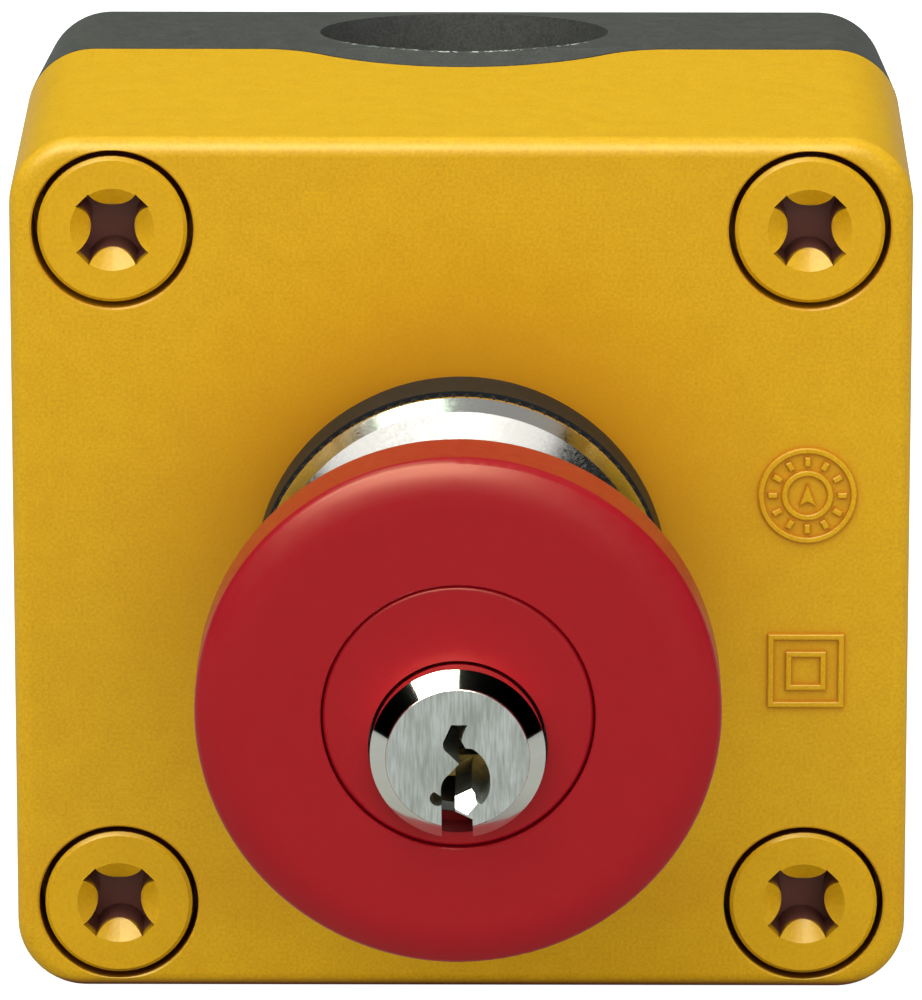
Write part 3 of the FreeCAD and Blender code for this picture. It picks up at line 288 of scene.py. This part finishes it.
# The grey base's colour carries painted highlights along the upper rim of the cable entry.
GREY = moulded_plastic("grey_plastic", rgb(56, 57, 54), rgb(96, 95, 91), 0.50, 0.22, 0.012, speckle=0.8,
                       change=(painted_entry_glints, rgb(190, 192, 186)))
BLACK = moulded_plastic("black_plastic", rgb(26, 29, 33), rgb(34, 37, 41), 0.50, 0.35, 0.004, gloss=0.2)
RED = moulded_plastic("red_plastic", rgb(158, 5, 24), rgb(163, 7, 28), 0.32, 0.22, 0.003, speckle=0.6,
                      shine=RED_SHINE, gloss=0.36)
BLOCK = moulded_plastic("block_plastic", rgb(60, 60, 62), rgb(74, 74, 76), 0.45, 0.25, 0.008)
BLOCK_RED = moulded_plastic("block_red", rgb(176, 30, 34), rgb(190, 40, 42), 0.40, 0.3, 0.005)
BLOCK_GREEN = moulded_plastic("block_green", rgb(30, 130, 60), rgb(44, 146, 72), 0.40, 0.3, 0.005)
RUBBER = moulded_plastic("seal_rubber", rgb(26, 26, 26), rgb(38, 38, 38), 0.65, 0.18, 0.010)
CHROME = bright_metal("ring_chrome", rgb(232, 233, 230), 0.17)
NICKEL = plug_nickel()
ZINC = plain_metal("zinc_casting", rgb(168, 168, 166), 0.42)
STEEL = plain_metal("zinc_plated_steel", rgb(186, 188, 192), 0.32)
SPRING = plain_metal("spring_steel", rgb(170, 172, 174), 0.28)
BRASS = plain_metal("brass", rgb(206, 172, 96), 0.34)

SLOT_MATERIALS = {
    "yellow_plastic": YELLOW, "yellow_screw_plastic": SCREW_YELLOW, "grey_plastic": GREY,
    "black_plastic": BLACK, "red_plastic": RED, "seal_rubber": RUBBER, "ring_chrome": CHROME,
    "lock_nickel": NICKEL, "zinc_casting": ZINC, "zinc_plated_steel": STEEL, "spring_steel": SPRING,
    "brass": BRASS, "block_plastic": BLOCK, "block_red_plastic": BLOCK_RED,
    "block_green_plastic": BLOCK_GREEN,
}


def paint(piece, material):
    """One material on the whole piece."""
    piece.data.materials.clear()
    piece.data.materials.append(material)


for part in frame["record"]["subparts"]:
    paint(NODES[part["node"]], SLOT_MATERIALS[part["material_slot"]])


# ---- Springs ---------------------------------------------------------------------------------------

def coil(name, mean_radius, wire_radius, turns, start, end):
    """Open coil spring mesh from one point to another, in millimetres."""
    start, end = Vector(start) * MM, Vector(end) * MM
    along = (end - start).normalized()
    side = along.orthogonal().normalized()
    other = along.cross(side)
    wire = wire_radius * MM
    length = (end - start).length - 2 * wire
    steps = 36 * turns
    corners = 12
    mesh = bmesh.new()
    rings = []
    for step in range(steps + 1):
        turn = 2 * math.pi * turns * step / steps
        outward = side * math.cos(turn) + other * math.sin(turn)
        centre = start + along * (wire + length * step / steps) + outward * mean_radius * MM
        ring = []
        for corner in range(corners):
            angle = 2 * math.pi * corner / corners
            ring.append(mesh.verts.new(centre + wire * (outward * math.cos(angle) + along * math.sin(angle))))
        rings.append(ring)
    for before, after in zip(rings, rings[1:]):
        for corner in range(corners):
            following = (corner + 1) % corners
            mesh.faces.new((before[corner], before[following], after[following], after[corner]))
    mesh.faces.new(list(reversed(rings[0])))
    mesh.faces.new(rings[-1])
    for face in mesh.faces:
        face.smooth = len(face.verts) == 4
    bmesh.ops.recalc_face_normals(mesh, faces=mesh.faces)
    data = bpy.data.meshes.new(name)
    mesh.to_mesh(data)
    mesh.free()
    spring = bpy.data.objects.new(name, data)
    bpy.context.scene.collection.objects.link(spring)
    paint(spring, SPRING)
    return spring


def depth_spring(name, node, body, mean_radius, wire_radius, turns, x):
    """Spring along the depth axis in place of a CAD node.

    Its radii and its place along X are in millimetres.
    """
    low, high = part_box(node)
    rear, front = high.y / MM, low.y / MM
    spring = coil(name, mean_radius, wire_radius, turns, (x, rear, 0), (x, front, 0))
    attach(spring, body)
    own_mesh(spring)
    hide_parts(node)


def pawl_coil():
    """Spring across the stem that both pawls press."""
    low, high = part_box("pawl_spring")
    gap = 0.02
    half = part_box("latch_pawl_right")[0].x / MM - gap
    y = (low.y + high.y) / 2 / MM
    z = (low.z + high.z) / 2 / MM
    spring = coil("pawl_coil", 0.85, 0.15, 5, (-half, y, z), (half, y, z))
    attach(spring, "head")
    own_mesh(spring)
    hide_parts("pawl_spring")


depth_spring("head_coil", "return_spring", "enclosure",
             mean_radius=10.55, wire_radius=0.55, turns=5, x=0)
depth_spring("nc_plunger_coil", "nc_plunger_spring", "enclosure",
             mean_radius=1.6, wire_radius=0.2, turns=5, x=-5.3)
depth_spring("no_plunger_coil", "no_plunger_spring", "enclosure",
             mean_radius=1.6, wire_radius=0.2, turns=5, x=5.3)
depth_spring("no_contact_coil", "no_contact_spring", "no_bridge_body",
             mean_radius=0.9, wire_radius=0.15, turns=6, x=5.3)
pawl_coil()


# ---- Stage, light and camera -----------------------------------------------------------------------

def floor():
    """Pale floor under the enclosure. The camera sees it as bright as the background, and not from below."""
    mesh = bpy.data.meshes.new("floor")
    reach = 3.0
    level = LOW_Z - 0.02 * MM
    corners = [(-reach, -reach, level), (reach, -reach, level), (reach, reach, level), (-reach, reach, level)]
    mesh.from_pydata(corners, [], [(0, 1, 2, 3)])
    plane = bpy.data.objects.new("floor", mesh)
    bpy.context.scene.collection.objects.link(plane)
    graph = Graph("floor")
    grey = FLOOR_ALBEDO
    tone = graph.remap(graph.noise(40.0), 0.3, 0.7, grey - 0.01, grey + 0.01)
    seen = graph.node("LightPath").outputs["Is Camera Ray"]
    graph.principled(Base_Color=tone, Roughness=0.9, Specular_IOR_Level=0.0,
                     Emission_Color=(1, 1, 1, 1), Emission_Strength=seen)
    mixed = graph.node("MixShader", {"Fac": graph.node("NewGeometry").outputs["Backfacing"]})
    graph.put(mixed.inputs[1], graph.shader.outputs["BSDF"])
    graph.put(mixed.inputs[2], graph.node("BsdfTransparent").outputs["BSDF"])
    graph.put(graph.output.inputs["Surface"], mixed.outputs["Shader"])
    mesh.materials.append(graph.material)


def area_light(name, lateral, elevation, distance, size, radiance, mirrored=True, diffused=True):
    """Soft box that looks at the button. Angles are in degrees: to the right of straight ahead, and up.

    Metal and gloss see it if it is mirrored, and it lights dull surfaces if it is diffused.
    """
    side = math.radians(lateral)
    rise = math.radians(elevation)
    aim = Vector((0, FACE_Y, 0))
    direction = Vector((math.sin(side), -math.cos(side) * math.cos(rise), math.cos(side) * math.sin(rise)))
    data = bpy.data.lights.new(name, "AREA")
    data.shape = "RECTANGLE"
    data.size, data.size_y = size
    strongest = max(radiance)
    data.energy = strongest * math.pi * size[0] * size[1]
    data.color = [channel / strongest for channel in radiance]
    light = bpy.data.objects.new(name, data)
    light.location = aim + direction * distance
    light.rotation_euler = direction.to_track_quat("Z", "Y").to_euler()
    light.visible_camera = False
    light.visible_glossy = mirrored
    light.visible_diffuse = diffused
    bpy.context.scene.collection.objects.link(light)


def world():
    """White for the camera, and an even light for the object that metal doesn't mirror."""
    scene_world = bpy.data.worlds.new("world")
    bpy.context.scene.world = scene_world
    scene_world.use_nodes = True
    scene_world.cycles_visibility.glossy = False
    tree = scene_world.node_tree
    tree.nodes.clear()
    path = tree.nodes.new("ShaderNodeLightPath")
    seen = tree.nodes.new("ShaderNodeBackground")
    seen.inputs["Color"].default_value = (1, 1, 1, 1)
    felt = tree.nodes.new("ShaderNodeBackground")
    felt.inputs["Color"].default_value = (*EVEN_LIGHT, 1)
    mixed = tree.nodes.new("ShaderNodeMixShader")
    output = tree.nodes.new("ShaderNodeOutputWorld")
    tree.links.new(path.outputs["Is Camera Ray"], mixed.inputs[0])
    tree.links.new(felt.outputs[0], mixed.inputs[1])
    tree.links.new(seen.outputs[0], mixed.inputs[2])
    tree.links.new(mixed.outputs[0], output.inputs["Surface"])


def camera():
    """Long lens in front of the face and a little above it."""
    data = bpy.data.cameras.new("camera")
    data.lens = CAMERA_LENS
    data.sensor_width = 36.0
    data.shift_y = CAMERA_SHIFT
    data.clip_start = 0.01
    seen = bpy.data.objects.new("camera", data)
    seen.location = (CAMERA_ASIDE, FACE_Y - CAMERA_DISTANCE, CAMERA_HEIGHT)
    aim = math.atan2(CAMERA_ASIDE, CAMERA_DISTANCE)
    seen.rotation_euler = (math.radians(90 - CAMERA_TILT), 0, aim)
    bpy.context.scene.collection.objects.link(seen)
    bpy.context.scene.camera = seen


floor()
world()
area_light("key", lateral=-8, elevation=42, distance=2.0, size=(2.6, 2.0), radiance=KEY_LIGHT)
area_light("strip", lateral=-15, elevation=86, distance=1.6, size=(1.7, 0.63), radiance=STRIP_LIGHT)
area_light("shine", lateral=-15, elevation=56, distance=1.6, size=(1.6, 0.9), radiance=SHINE_LIGHT,
           diffused=False)
area_light("back", lateral=0, elevation=113, distance=0.9, size=(1.4, 0.6), radiance=BACK_LIGHT)
area_light("front", lateral=26, elevation=14, distance=1.8, size=(1.6, 0.9), radiance=FRONT_LIGHT,
           mirrored=False)
camera()
bpy.context.scene.view_settings.view_transform = "Standard"
